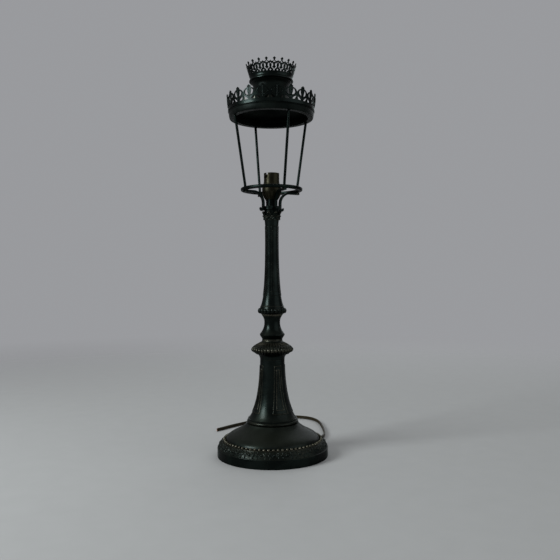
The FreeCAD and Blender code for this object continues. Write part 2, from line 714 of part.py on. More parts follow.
def chimney_neck():
    """Turned hollow neck that spreads under the crown, with a spigot in the roof's vent."""
    foot_r = HOOD_VENT_RADIUS + HOOD_WALL
    spigot = HOOD_VENT_RADIUS - SLIP
    bore = spigot - CHIMNEY_WALL
    z, h = CHIMNEY_Z, CHIMNEY_HEIGHT
    return turned(
        (bore, z - NECK_SPIGOT_LENGTH),
        ((spigot, z - NECK_SPIGOT_LENGTH),),
        ((spigot, z),),
        ((foot_r, z),),
        ((foot_r, z + 0.15 * h),),
        ((foot_r + 0.1 * CHIMNEY_FLARE, z + 0.6 * h), (foot_r + 0.7 * CHIMNEY_FLARE, z + 0.7 * h),
         (CHIMNEY_TOP_RADIUS, z + h)),
        ((CHIMNEY_TOP_RADIUS - 2 * CHIMNEY_WALL, z + h),),
        ((bore, z + 0.15 * h),),
    )


def pierce(shell, windows):
    """Cuts windows, each (face, half pitches round, start radius), through a round shell, once per pitch."""
    tools = []
    for face, half_pitches, start in windows:
        tool = face.extrude(FreeCAD.Vector(PIERCE_DEPTH, 0, 0))
        tool.translate(FreeCAD.Vector(start, 0, 0))
        tools += around(tool, GALLERY_COUNT, half_pitches * 180.0 / GALLERY_COUNT)
    return shell.cut(tools)


def hood_gallery():
    """Palmette gallery: pointed leaves side by side, each pierced by two drops, on a plain band."""
    z0 = HOOD_SHOULDER_Z - HOOD_GALLERY_DROP
    h = HOOD_GALLERY_HEIGHT
    foot_in = HOOD_RIM_RADIUS + SLIP / 2
    foot_out = foot_in + GALLERY_THICKNESS
    top_in = HOOD_GALLERY_TOP_RADIUS - GALLERY_THICKNESS
    shell = turned(
        (foot_in, z0),
        ((foot_out, z0),),
        ((foot_out, HOOD_SHOULDER_Z),),
        ((HOOD_GALLERY_TOP_RADIUS, z0 + h),),
        ((top_in, z0 + h),),
        ((foot_in, HOOD_SHOULDER_Z),),
    )
    w = HOOD_GALLERY_TOP_RADIUS * math.tan(math.pi / GALLERY_COUNT)

    def at(across, up):
        return front(across * w, z0 + up * h)

    right_drop = outline(at, (0.15, 0.45), ((0.64, 0.575), (0.33, 0.79)), ((0.27, 0.6), (0.15, 0.45)))
    left_drop = outline(at, (-0.15, 0.45), ((-0.64, 0.575), (-0.33, 0.79)), ((-0.27, 0.6), (-0.15, 0.45)))
    right_foot = outline(at, (0.17, 0.2), ((0.84, 0.2),), ((0.84, 0.4),), ((0.48, 0.325), (0.17, 0.2)))
    left_foot = outline(at, (-0.17, 0.2), ((-0.84, 0.2),), ((-0.84, 0.4),), ((-0.48, 0.325), (-0.17, 0.2)))
    notch = outline(
        at, (0.0, 0.6),
        ((0.16, 0.72), (0.5, 0.825)),
        ((0.74, 0.87),),
        ((0.69, 0.925),),
        ((0.95, 1.01),),
        ((-0.95, 1.01),),
        ((-0.69, 0.925),),
        ((-0.74, 0.87),),
        ((-0.5, 0.825),),
        ((-0.16, 0.72), (0.0, 0.6)),
    )
    start = foot_in - SLIP
    windows = [(face, 0, start) for face in (right_drop, left_drop, right_foot, left_foot)]
    return pierce(shell, windows + [(notch, 1, start)])


def crown_gallery():
    """Crown: turned-in flange, hollow band, then a pierced cone of hearts with a finial over each."""
    z0, h = CROWN_Z, CROWN_HEIGHT
    t = GALLERY_THICKNESS
    waist_r, waist_z = CROWN_FOOT_RADIUS - CROWN_HOLLOW, z0 + 0.2 * h
    band_r, band_z = CROWN_FOOT_RADIUS - CROWN_HOLLOW / 3, z0 + 0.3 * h
    shell = turned(
        (CROWN_BORE, z0),
        ((CROWN_FOOT_RADIUS - CROWN_EDGE, z0),),
        ((CROWN_FOOT_RADIUS, z0 + CROWN_EDGE),),
        ((CROWN_FOOT_RADIUS, z0 + CROWN_FLANGE),),
        ((waist_r, waist_z), (band_r, band_z)),
        ((CROWN_TOP_RADIUS, z0 + h),),
        ((CROWN_TOP_RADIUS - t, z0 + h),),
        ((band_r - t, band_z),),
        ((waist_r - t, waist_z), (CROWN_FOOT_RADIUS - t, z0 + CROWN_FLANGE)),
        ((CROWN_BORE, z0 + CROWN_FLANGE),),
    )
    w = CROWN_TOP_RADIUS * math.tan(math.pi / GALLERY_COUNT)

    def at(across, up):
        return front(across * w, z0 + up * h)

    def round_hole(radius, up):
        return Part.Face(Part.Wire(Part.makeCircle(radius, at(0, up), FreeCAD.Vector(1, 0, 0))))

    dot = round_hole(CROWN_DOT_RADIUS, 0.36)
    eye = round_hole(CROWN_EYE_RADIUS, 0.7)
    heart_slot = outline(
        at, (0.0, 0.395),
        ((0.42, 0.43), (0.68, 0.505)),
        ((0.6, 0.575), (0.66, 0.645)),
        ((0.52, 0.692), (0.33, 0.645)),
        ((0.235, 0.575), (0.44, 0.515)),
        ((0.27, 0.455), (0.0, 0.428)),
        ((-0.27, 0.455), (-0.44, 0.515)),
        ((-0.235, 0.575), (-0.33, 0.645)),
        ((-0.52, 0.692), (-0.66, 0.645)),
        ((-0.6, 0.575), (-0.68, 0.505)),
        ((-0.42, 0.43), (0.0, 0.395)),
    )
    finial_arch = outline(
        at, (-0.3, 0.735), ((0.3, 0.735),), ((0.16, 0.79), (0.0, 0.82)), ((-0.16, 0.79), (-0.3, 0.735)),
    )
    notch = outline(
        at, (0.0, 0.845),
        ((0.13, 0.8),),
        ((0.34, 0.785),),
        ((0.62, 0.8), (0.815, 0.86)),
        ((0.605, 0.935),),
        ((0.95, 1.01),),
        ((-0.95, 1.01),),
        ((-0.605, 0.935),),
        ((-0.815, 0.86),),
        ((-0.62, 0.8), (-0.34, 0.785)),
        ((-0.13, 0.8),),
    )
    start = band_r - 2 * t
    notch_start = CROWN_TOP_RADIUS - PIERCE_DEPTH / 2
    return pierce(shell, [(dot, 0, start), (dot, 1, start), (eye, 1, start), (heart_slot, 0, start),
                          (finial_arch, 0, start), (notch, 1, notch_start)])


def holder_cup():
    """Fluted lower cup: screws on the tie tube, holds the insulator and carries the shell."""
    well_z = CUP_Z + CUP_FLOOR
    belly_z = SHELL_Z - 0.2 * CUP_HEIGHT
    seat = INSULATOR_RADIUS + SLIP
    spread = CUP_RADIUS - CUP_FOOT_RADIUS
    cup = turned(
        (TUBE_HOLE, CUP_Z),
        ((CUP_FOOT_RADIUS, CUP_Z),),
        ((CUP_FOOT_RADIUS + 0.5 * spread, CUP_Z + 0.25 * CUP_HEIGHT), (CUP_RADIUS, CUP_Z + 0.5 * CUP_HEIGHT),
         (CUP_RADIUS, belly_z)),
        ((CUP_RADIUS, SHELL_Z),),
        ((CUP_SPIGOT_RADIUS, SHELL_Z),),
        ((CUP_SPIGOT_RADIUS, SHELL_Z + CUP_SPIGOT_HEIGHT),),
        ((seat, SHELL_Z + CUP_SPIGOT_HEIGHT),),
        ((seat, INSULATOR_Z),),
        ((CUP_WELL_RADIUS, INSULATOR_Z),),
        ((CUP_WELL_RADIUS, well_z),),
        ((TUBE_HOLE, well_z),),
    )
    lean = math.degrees(math.atan2(spread, 0.62 * CUP_HEIGHT))
    flute = Part.makeCylinder(FLUTE_RADIUS, 0.62 * CUP_HEIGHT, ORIGIN)
    flute = flute.fuse(Part.makeSphere(FLUTE_RADIUS, FreeCAD.Vector(0, 0, 0.62 * CUP_HEIGHT)))
    flute.rotate(ORIGIN, FreeCAD.Vector(0, 1, 0), lean)
    flute.translate(side(CUP_FOOT_RADIUS + 0.5 * FLUTE_RADIUS, CUP_Z))
    return cup.cut(around(flute, FLUTE_COUNT, 180.0 / FLUTE_COUNT))


def bayonet_slots():
    """L-shaped slots with a short hook, open at the shell's rim."""
    reach = 2 * SHELL_RADIUS
    half = SLOT_WIDTH / 2
    floor_z = SHELL_TOP_Z - SLOT_DEPTH
    entry = Part.makeBox(reach, SLOT_WIDTH, SLOT_DEPTH + 1, FreeCAD.Vector(0, -half, floor_z))
    turn = outline(side, (0, floor_z), ((reach, floor_z),), ((reach, floor_z + SLOT_WIDTH),),
                   ((0, floor_z + SLOT_WIDTH),)).revolve(ORIGIN, UP, -SLOT_TURN)
    hook = Part.makeBox(reach, SLOT_WIDTH, SLOT_WIDTH + SLOT_HOOK, FreeCAD.Vector(0, -half, floor_z))
    hook.rotate(ORIGIN, UP, -SLOT_TURN)
    return around(entry.fuse([turn, hook]), SLOT_COUNT, SLOT_ANGLE)


def holder_shell():
    """Bell-shaped upper shell with a straight socket, cut for the two pins of a lamp cap."""
    flare_top = SHELL_Z + SHELL_FLARE_HEIGHT
    spigot = CUP_SPIGOT_RADIUS + SLIP
    relief = SOCKET_RADIUS + SOCKET_RELIEF
    step_z = SHELL_TOP_Z - SOCKET_DEPTH
    spigot_z = SHELL_Z + CUP_SPIGOT_HEIGHT + SLIP
    spread = CUP_RADIUS - SHELL_RADIUS
    shell = turned(
        (spigot, SHELL_Z),
        ((CUP_RADIUS, SHELL_Z),),
        ((CUP_RADIUS - 0.25 * spread, SHELL_Z + 0.4 * SHELL_FLARE_HEIGHT),
         (SHELL_RADIUS, SHELL_Z + 0.6 * SHELL_FLARE_HEIGHT), (SHELL_RADIUS, flare_top)),
        ((SHELL_RADIUS, SHELL_TOP_Z),),
        ((SOCKET_RADIUS, SHELL_TOP_Z),),
        ((SOCKET_RADIUS, step_z),),
        ((relief, step_z),),
        ((relief, spigot_z),),
        ((spigot, spigot_z),),
    )
    return shell.cut(bayonet_slots())


def insulator_top():
    return INSULATOR_Z + INSULATOR_HEIGHT


def chamber_roof():
    return insulator_top() - INSULATOR_ROOF


def holder_insulator():
    """Moulded block with a stepped bore for each contact."""
    chamber = PLUNGER_SHOULDER_RADIUS + RUNNING
    block = drum(INSULATOR_RADIUS, INSULATOR_HEIGHT, z=INSULATOR_Z)
    block = block.makeChamfer(0.6, [block.Edges[0]])
    bore = drum(chamber, INSULATOR_HEIGHT - INSULATOR_ROOF, PLUNGER_SPACING / 2, INSULATOR_Z)
    mouth = drum(PLUNGER_TIP_RADIUS + RUNNING, INSULATOR_ROOF, PLUNGER_SPACING / 2, chamber_roof())
    return block.cut(around(bore.fuse(mouth), 2))


def contact_plunger():
    """Round contact with a retaining shoulder and a rounded tip."""
    shoulder_top = chamber_roof() - STOP_GAP
    shoulder_z = shoulder_top - PLUNGER_SHOULDER_HEIGHT
    tip_z = insulator_top() + PLUNGER_PROUD
    pin = turned(
        (0, shoulder_z),
        ((PLUNGER_SHOULDER_RADIUS, shoulder_z),),
        ((PLUNGER_SHOULDER_RADIUS, shoulder_top),),
        ((PLUNGER_TIP_RADIUS, shoulder_top),),
        ((PLUNGER_TIP_RADIUS, tip_z - PLUNGER_DOME),),
        ((0.8 * PLUNGER_TIP_RADIUS, tip_z - 0.3 * PLUNGER_DOME), (PLUNGER_FLAT_RADIUS, tip_z)),
        ((0, tip_z),),
    )
    pin.translate(side(PLUNGER_SPACING / 2, 0))
    return pin


def terminal():
    """Plug that closes a contact's chamber and takes a lead from below."""
    chamber = PLUNGER_SHOULDER_RADIUS + RUNNING
    plug = drum(chamber, TERMINAL_HEIGHT, PLUNGER_SPACING / 2, INSULATOR_Z)
    return plug.cut(drum(TERMINAL_HOLE_RADIUS, TERMINAL_HOLE_DEPTH, PLUNGER_SPACING / 2, INSULATOR_Z))


def contact_spring():
    """Coil spring between terminal and contact, wound from half turns."""
    bottom = INSULATOR_Z + TERMINAL_HEIGHT + SPRING_WIRE + STOP_GAP
    top = chamber_roof() - STOP_GAP - PLUNGER_SHOULDER_HEIGHT - SPRING_WIRE - STOP_GAP
    pitch = (top - bottom) / SPRING_TURNS
    steps = 4 * SPRING_TURNS
    edges = []

    def on_coil(quarter):
        turn = quarter * math.pi / 2
        return FreeCAD.Vector(
            PLUNGER_SPACING / 2 + SPRING_RADIUS * math.cos(turn),
            SPRING_RADIUS * math.sin(turn), bottom + pitch * quarter / 4)

    for quarter in range(steps):
        edges.append(Part.Arc(on_coil(quarter), on_coil(quarter + 0.5), on_coil(quarter + 1)).toShape())
    print("spring gap between turns", round(pitch - 2 * SPRING_WIRE, 2), "mm")
    return tube_on(Part.Wire(edges), SPRING_WIRE)


def inner_flex():
    """Flex held by the lamp: in through the bush, across the foot and up the tie tube."""
    outer_face = RIM_RADIUS + BUSH_FLANGE
    bend = FLEX_INNER_BEND
    top = CUP_Z + CUP_FLOOR + TUBE_ABOVE_CUP_FLOOR
    corner = bend * (1 - math.sqrt(0.5))
    wire = Part.Wire([
        Part.LineSegment(side(outer_face, FLEX_HEIGHT), side(bend, FLEX_HEIGHT)).toShape(),
        Part.Arc(
            side(bend, FLEX_HEIGHT), side(corner, FLEX_HEIGHT + corner), side(0, FLEX_HEIGHT + bend),
        ).toShape(),
        Part.LineSegment(side(0, FLEX_HEIGHT + bend), side(0, top)).toShape(),
    ])
    return flex_direction(tube_on(wire, FLEX_DIAMETER / 2))


def lead():
    """Single lead from the flex's end to a terminal's hole."""
    start = CUP_Z + CUP_FLOOR + TUBE_ABOVE_CUP_FLOOR
    end = INSULATOR_Z + TERMINAL_HOLE_DEPTH
    out = FLEX_DIAMETER / 4
    quarter = (end - start) / 4
    points = [
        side(out, start),
        side(out, start + quarter),
        side(PLUNGER_SPACING / 2, end - 1.5 * quarter),
        side(PLUNGER_SPACING / 2, end),
    ]
    wire, _ = route_wire(points)
    return tube_on(wire, LEAD_RADIUS - SLIP / 2)


def flex():
    """Free flex on the table, as a round tube along its route."""
    turn = math.radians(FLEX_ANGLE)
    out = RIM_RADIUS + BUSH_FLANGE
    points = [FreeCAD.Vector(out * math.cos(turn), out * math.sin(turn), FLEX_HEIGHT)]
    points += [FreeCAD.Vector(*point) for point in FLEX_ROUTE]
    wire, radii = route_wire(points)
    tube = tube_on(wire, FLEX_DIAMETER / 2)
    section = math.pi * FLEX_DIAMETER ** 2 / 4
    print("flex length", round(wire.Length, 1), "mm, bend radii", [round(radius) for radius in radii])
    print("flex volume", round(tube.Volume), "against section times length", round(section * wire.Length))
    return tube


os.makedirs("parts", exist_ok=True)

for single in (foot, foot_bead_ring, foot_ring, tie_tube, tie_washer, tie_nut, cord_bush, pedestal,
               wide_knop, spool_knop, bead_collar, shaft, capital, neck_sleeve, lantern_ring, hood_ring,
               hood_shell, hood_gallery, chimney_neck, crown_gallery, holder_cup, holder_shell,
               holder_insulator, inner_flex, flex):
    save(single.__name__, single())

for repeated, count in ((bracket, LANTERN_COUNT), (rod, LANTERN_COUNT), (contact_plunger, 2),
                        (contact_spring, 2), (lead, 2)):
    for number, copy in enumerate(around(repeated(), count), 1):
        save(repeated.__name__ + "_" + str(number), copy)

save("terminals", Part.makeCompound(around(terminal(), 2)))
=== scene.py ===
import bpy
import math
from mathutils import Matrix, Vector


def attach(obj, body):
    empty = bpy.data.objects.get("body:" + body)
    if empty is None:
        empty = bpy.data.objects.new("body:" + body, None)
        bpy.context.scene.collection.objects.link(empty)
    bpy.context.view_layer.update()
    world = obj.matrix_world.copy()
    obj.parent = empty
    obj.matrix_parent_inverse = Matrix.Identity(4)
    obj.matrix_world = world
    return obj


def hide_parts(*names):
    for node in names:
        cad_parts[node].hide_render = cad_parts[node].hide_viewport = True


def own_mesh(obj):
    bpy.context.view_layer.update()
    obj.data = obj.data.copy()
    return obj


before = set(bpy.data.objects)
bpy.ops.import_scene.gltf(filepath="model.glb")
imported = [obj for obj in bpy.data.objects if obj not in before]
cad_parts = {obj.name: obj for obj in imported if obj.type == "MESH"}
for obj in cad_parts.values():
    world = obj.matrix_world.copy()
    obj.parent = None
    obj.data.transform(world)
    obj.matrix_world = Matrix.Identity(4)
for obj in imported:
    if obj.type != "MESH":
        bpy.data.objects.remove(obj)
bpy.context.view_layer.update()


# Foot: one hollow casting in a copper alloy under green-black patina, turned plain on rim and
# dome. Its sloping band is chased with bosses between leaves, and its high spots are rubbed.
class Strand:
    """One value on its way through a finish, from node to node."""

    def __init__(self, finish, socket):
        self.finish = finish
        self.socket = socket

    def reckon(self, operation, first, second):
        return self.finish.add("ShaderNodeMath", {"operation": operation}, {0: first, 1: second})

    def __add__(self, other):
        return self.reckon("ADD", self, other)

    def __radd__(self, other):
        return self.reckon("ADD", other, self)

    def __sub__(self, other):
        return self.reckon("SUBTRACT", self, other)

    def __rsub__(self, other):
        return self.reckon("SUBTRACT", other, self)

    def __mul__(self, other):
        return self.reckon("MULTIPLY", self, other)

    def __rmul__(self, other):
        return self.reckon("MULTIPLY", other, self)


class Finish:
    """The nodes of a material, or of the air around the lamp, while they are being joined."""

    def __init__(self, owner):
        owner.use_nodes = True
        self.owner = owner
        self.tree = owner.node_tree

    def add(self, kind, settings, sockets, out=0):
        """A new node with its settings and inputs, as a strand from one of its outputs."""
        node = self.tree.nodes.new(kind)
        for name, value in settings.items():
            setattr(node, name, value)
        for name, value in sockets.items():
            self.feed(node.inputs[name], value)
        return Strand(self, node.outputs[out])

    def feed(self, socket, value):
        if isinstance(value, Strand):
            self.tree.links.new(value.socket, socket)
        else:
            socket.default_value = value

    def noise(self, scale, detail):
        place = self.add("ShaderNodeTexCoord", {}, {}, "Object")
        return self.add("ShaderNodeTexNoise", {}, {"Vector": place, "Scale": scale, "Detail": detail})

    def step(self, value, low, high):
        """0 up to low, 1 from high on, smooth between."""
        return self.add("ShaderNodeMapRange", {"interpolation_type": "SMOOTHSTEP"},
                        {"Value": value, "From Min": low, "From Max": high})

    def mix(self, share, first, second):
        """The first colour, with a share of the second."""
        return self.add("ShaderNodeMix", {"data_type": "RGBA"}, {0: share, 6: first, 7: second}, 2)

    def edges(self, reach):
        """1 on convex edges, 0 on broad faces."""
        inward = {"inside": True, "only_local": True, "samples": 8}
        return 1 - self.add("ShaderNodeAmbientOcclusion", inward, {"Distance": reach}, "AO")

    def hollows(self, reach):
        """1 deep in hollows, 0 in the open."""
        outward = {"only_local": True, "samples": 8}
        return 1 - self.add("ShaderNodeAmbientOcclusion", outward, {"Distance": reach}, "AO")

    def bump(self, height, depth):
        return self.add("ShaderNodeBump", {}, {"Strength": 1.0, "Distance": depth, "Height": height})

    def finish(self, sockets, shader="Principled BSDF"):
        """Feeds the shader and gives back what was finished."""
        for name, value in sockets.items():
            self.feed(self.tree.nodes[shader].inputs[name], value)
        return self.owner


dark_ground, light_ground = (0.0036, 0.0056, 0.0050, 1), (0.0078, 0.0118, 0.0104, 1)
brown_fleck = (0.022, 0.021, 0.013, 1)
# Paler olive for upward faces: dusting, and painted light from above.
top_dusting_and_light = (0.0135, 0.0152, 0.0105, 1)
black_hollow = (0.0022, 0.0028, 0.0023, 1)
rubbed_brown, bare_gold = (0.07, 0.064, 0.045, 1), (0.29, 0.27, 0.215, 1)
hollow_reach = 0.005


def dark_patina(name, worn, reach, rub=0.0, top_dusting_and_light_amount=1.0, pitted=0.0004, glance=1.0):
    """Mottled green-black patina, paler olive on top (dusting, and painted light from above), dull in
    hollows and rubbed to grey-gold on edges.

    worn: how far edges are bared. reach: how broad an edge is. rub: wear on the faces as well.
    top_dusting_and_light_amount: how much paler olive lies on top, as dusting and as painted light from
    above. pitted: depth of the skin's unevenness. glance: how bright its rims are.
    """
    metal = Finish(bpy.data.materials.new(name))
    cloud = metal.noise(scale=42.0, detail=6.0)
    fleck = metal.noise(scale=460.0, detail=3.0)
    grain = metal.noise(scale=1900.0, detail=2.0)
    uneven = (fleck - 0.5) * 0.5 + (cloud - 0.5) * 0.6
    edge = metal.edges(reach) + uneven + rub
    rubbed = metal.step(edge, 0.3, 0.75) * worn
    bare = metal.step(edge, 0.66, 1.05) * worn
    facing = metal.add("ShaderNodeNewGeometry", {}, {}, "Normal")
    upward = metal.add("ShaderNodeSeparateXYZ", {}, {0: facing}, "Z")
    # Upward faces turn paler olive and rougher: dusting, and painted light from above.
    top_dusting_and_light_share = metal.step(upward + (cloud - 0.5) * 0.5, 0.2, 1.0) * top_dusting_and_light_amount
    ground = metal.mix(metal.step(cloud, 0.36, 0.66), dark_ground, light_ground)
    ground = metal.mix(metal.step(fleck, 0.58, 0.74) * 0.3, ground, brown_fleck)
    ground = metal.mix(top_dusting_and_light_share * 0.85, ground, top_dusting_and_light)
    ground = metal.mix(metal.hollows(hollow_reach) * 0.8, ground, black_hollow)
    ground = metal.mix(rubbed, ground, rubbed_brown)
    return metal.finish({
        "Base Color": metal.mix(bare, ground, bare_gold),
        "Metallic": 0.84 + rubbed * 0.12 - top_dusting_and_light_share * 0.3,
        "Roughness": 0.27 + (cloud - 0.5) * 0.2 + (fleck - 0.5) * 0.1 + top_dusting_and_light_share * 0.28,
        "Specular IOR Level": 0.25,
        "Specular Tint": (0.26 * glance, 0.31 * glance, 0.29 * glance, 1),
        "Coat Weight": 0.06 * glance,
        "Coat Roughness": 0.13,
        "Normal": metal.bump(cloud * 0.7 + fleck * 0.2 + grain * 0.1, pitted),
    })


def lay(name, points, faces, material, slot):
    """A new smooth piece that rides on the lamp."""
    mesh = bpy.data.meshes.new(name)
    mesh.from_pydata(points, [], faces)
    mesh.polygons.foreach_set("use_smooth", [True] * len(faces))
    mesh.materials.append(material)
    piece = bpy.data.objects.new(name, mesh)
    bpy.context.collection.objects.link(piece)
    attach(piece, "lamp")
    return piece


def dress(material, *nodes):
    """Gives CAD nodes a finish."""
    for node in nodes:
        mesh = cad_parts[node].data
        mesh.materials.clear()
        mesh.materials.append(material)


def bent(first, second, third, last, steps):
    """Points (radius, height) along a cubic curve."""
    line = []
    for i in range(steps + 1):
        t = i / steps
        shares = ((1 - t) ** 3, 3 * t * (1 - t) ** 2, 3 * t * t * (1 - t), t ** 3)
        weighted = list(zip(shares, (first, second, third, last)))
        line.append(tuple(sum(share * point[k] for share, point in weighted) for k in (0, 1)))
    return line


def polar(radius, turn, height):
    """A place by its distance and turn about the column's axis, and its height."""
    return Vector((radius * math.cos(turn), radius * math.sin(turn), height))


def chased(line, steps_round, relief):
    """Points and faces of a round skin on a profile, raised along its normal by relief(turn, along)."""
    lengths = [0.0]
    for a, b in zip(line, line[1:]):
        lengths.append(lengths[-1] + math.dist(a, b))
    points, faces = [], []
    for i, (radius, height) in enumerate(line):
        before, after = line[max(i - 1, 0)], line[min(i + 1, len(line) - 1)]
        rise, run = after[1] - before[1], after[0] - before[0]
        size = math.hypot(rise, run)
        out, up = rise / size, -run / size
        for k in range(steps_round):
            turn = 2 * math.pi * k / steps_round
            lift = relief(turn, lengths[i] / lengths[-1])
            points.append(polar(radius + out * lift, turn, height + up * lift))
    for i in range(len(line) - 1):
        for k in range(steps_round):
            a, b = i * steps_round + k, i * steps_round + (k + 1) % steps_round
            faces.append((a, b, b + steps_round, a + steps_round))
    return points, faces


def mound(distance):
    """1 at the middle of a round swelling, 0 from its edge on."""
    return math.sqrt(max(0.0, 1 - distance * distance))


band_motifs, steps_per_motif = 27, 36
motif_width, band_width = 0.0193, 0.0123
band_line = bent((0.0868, 0.0145), (0.0847, 0.018775), (0.08155, 0.02324), (0.0793, 0.024), 26)
boss_radius, boss_height = 0.0025, 0.0019
collar_radius, collar_half, collar_height = 0.0037, 0.0007, 0.0008
blade_start, blade_length, blade_half, blade_height = 0.0044, 0.0052, 0.0031, 0.0013
blade_crease, crease_half = 0.45, 0.0004
curl_across, curl_up, curl_radius, curl_height = 0.0062, 0.0038, 0.0015, 0.0012
border_up, border_half, border_height = 0.0055, 0.0004, 0.0006
band_ground = 0.00012


def band_relief(turn, along):
    """A ringed boss between two creased leaf blades and four curls, with a border above and below."""
    across = (turn * band_motifs / (2 * math.pi) % 1 - 0.5) * motif_width
    up = (along - 0.5) * band_width
    far = math.hypot(across, up)
    boss = boss_height * mound(far / boss_radius)
    collar = collar_height * mound((far - collar_radius) / collar_half)
    reach = (abs(across) - blade_start) / blade_length
    blade = 0.0
    if 0 < reach < 1:
        half = blade_half * math.sin(math.pi * reach ** 0.7)
        blade = blade_height * mound(up / half) * (1 - blade_crease * math.exp(-(up / crease_half) ** 2))
    curl = curl_height * mound(math.hypot(abs(across) - curl_across, abs(up) - curl_up) / curl_radius)
    border = border_height * mound((abs(up) - border_up) / border_half)
    return max(boss, collar, blade, curl, border) - band_ground


chased_metal = dark_patina("chased_patina", worn=0.8, reach=0.0014, rub=0.1)
plain_metal = dark_patina("plain_patina", worn=0.25, reach=0.0016)
dress(plain_metal, "foot")
band_skin = chased(band_line, band_motifs * steps_per_motif, band_relief)
lay("foot_band", *band_skin, chased_metal, "patinated_metal")


# Beaded ring: a strip of solid beads on a thin plinth, soldered into a ring and dropped into the
# step between band and dome. Hands and dusters have rubbed the bead tops bright.
def beads(circle, height, radius, count, squash=1.0, start_turn=0.0):
    """Points and faces of a row of beads round the axis."""
    points, faces = [], []
    slices, rings = 14, 8
    for i in range(count):
        swung = start_turn + 2 * math.pi * i / count
        middle = polar(circle, swung, height)
        outward = polar(1, swung, 0)
        sideways = Vector((-outward.y, outward.x, 0))
        start = len(points)
        for j in range(rings + 1):
            tilt = math.pi * j / rings
            for k in range(slices):
                swing = 2 * math.pi * k / slices
                flat = radius * math.sin(tilt)
                rise = Vector((0, 0, squash * radius * math.cos(tilt)))
                level = middle + outward * flat * math.cos(swing) + sideways * flat * math.sin(swing)
                points.append(level + rise)
        for j in range(rings):
            for k in range(slices):
                a, b = start + j * slices + k, start + j * slices + (k + 1) % slices
                faces.append((a, a + slices, b + slices, b))
    return points, faces


def unraised(turn, along):
    """No relief, for a plain turned skin."""
    return 0.0


plain_steps = 160
plinth_line = [
    (0.0747, 0.024), (0.0793, 0.024), (0.0791, 0.0246),
    (0.0785, 0.0250), (0.0755, 0.0250), (0.0749, 0.0246),
]
bead_metal = dark_patina("bead_patina", worn=0.95, reach=0.003, rub=0.2, top_dusting_and_light_amount=0.2)
bead_row = beads(circle=0.077, height=0.0258, radius=0.0022, count=69)
foot_beads = lay("foot_beads", *bead_row, bead_metal, "patinated_metal")
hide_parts("foot_bead_ring")
lay("foot_bead_plinth", *chased(plinth_line, plain_steps, unraised), plain_metal, "patinated_metal")


# Foot ring and tie: a turned half-round ring under the pedestal, and the steel tube, washer and nut
# that draw the whole column down on to the foot.
brown_stain = (0.12, 0.08, 0.05, 1)


def plain_steel(name, colour):
    """Drawn steel with a fine turned grain and a little brown staining."""
    metal = Finish(bpy.data.materials.new(name))
    stain = metal.noise(scale=160.0, detail=5.0)
    grain = metal.noise(scale=2200.0, detail=2.0)
    return metal.finish({
        "Base Color": metal.mix(metal.step(stain, 0.5, 0.72), colour, brown_stain),
        "Metallic": 1.0,
        "Roughness": 0.34 + (stain - 0.5) * 0.3,
        "Normal": metal.bump(grain, 0.0001),
    })


ring_metal = dark_patina("ring_patina", worn=0.5, reach=0.0045, rub=0.15, top_dusting_and_light_amount=0.6)
dress(ring_metal, "foot_ring")
dress(plain_steel("tie_steel", (0.34, 0.34, 0.35, 1)), "tie_tube", "tie_washer", "tie_nut")


# Pedestal: a hollow flared casting that stands on the ring by a thin flange. Four tall panels are
# outlined on it by double raised lines, in line with the lantern's rods.
def radius_at(line, height):
    """Radius of a profile at a height."""
    for (r0, z0), (r1, z1) in zip(line, line[1:]):
        if z0 <= height <= z1:
            return r0 + (r1 - r0) * (height - z0) / (z1 - z0)
    return line[-1][0]


def between(stops, value):
    """Straight-line reading of a table of (place, value) stops."""
    for (a, first), (b, last) in zip(stops, stops[1:]):
        if value <= b:
            return first + (last - first) * (value - a) / (b - a)
    return stops[-1][1]


def raised_line(path, width, height, closed=False):
    """Points and faces of a half-round fillet along (point, outward) pairs."""
    half = [(0.28, 0.82), (0.46, 0.35), (0.5, -0.6)]
    section = [(-across, up) for across, up in reversed(half)] + [(0.0, 1.0)] + half
    points, faces = [], []
    count, n = len(path), len(section)
    for i, (point, outward) in enumerate(path):
        before, after = max(i - 1, 0), min(i + 1, count - 1)
        if closed:
            before, after = i - 1, (i + 1) % count
        aside = outward.cross(path[after][0] - path[before][0]).normalized()
        for across, up in section:
            points.append(point + aside * (across * width) + outward * (up * height))
    for i in range(count if closed else count - 1):
        for k in range(n - 1):
            a, b = i * n + k, (i + 1) % count * n + k
            faces.append((a, a + 1, b + 1, b))
    if not closed:
        faces.append(tuple(range(n - 1, -1, -1)))
        faces.append(tuple(range(len(points) - n, len(points))))
    return points, faces


def on_body(line, centre, share, half_stops, z):
    """A place on a turned body and its outward way, at a share of a panel's half angle."""
    turn = centre + share * math.radians(between(half_stops, z))
    return polar(radius_at(line, z), turn, z), polar(1, turn, 0)


def panel_lines(line, centre, half_stops, width, height):
    """One outlined panel on a turned body, mitred at its corners, from the first stop to the last."""
    side_steps, end_steps = 40, 18
    low, high = half_stops[0][0], half_stops[-1][0]
    outline = [(1, low + (high - low) * i / side_steps) for i in range(side_steps)]
    outline += [(1 - 2 * i / end_steps, high) for i in range(end_steps)]
    outline += [(-1, high + (low - high) * i / side_steps) for i in range(side_steps)]
    outline += [(2 * i / end_steps - 1, low) for i in range(end_steps)]
    path = [on_body(line, centre, share, half_stops, z) for share, z in outline]
    return raised_line(path, width, height, closed=True)


def joined(*parts):
    """Several point and face lists as one."""
    points, faces = [], []
    for more_points, more_faces in parts:
        faces += [tuple(i + len(points) for i in face) for face in more_faces]
        points += more_points
    return points, faces


def panel_reeds(line, centre, half_stops, low, high, width, height):
    """Three fine uprights inside a panel."""
    steps = 32
    heights = [low + (high - low) * i / steps for i in range(steps + 1)]
    parts = []
    for share in (-0.5, 0.0, 0.5):
        path = [on_body(line, centre, share, half_stops, z) for z in heights]
        parts.append(raised_line(path, width, height))
    return joined(*parts)


pedestal_line = bent((0.038, 0.0592), (0.02733, 0.0732), (0.0196, 0.1021), (0.0196, 0.1525), 60)
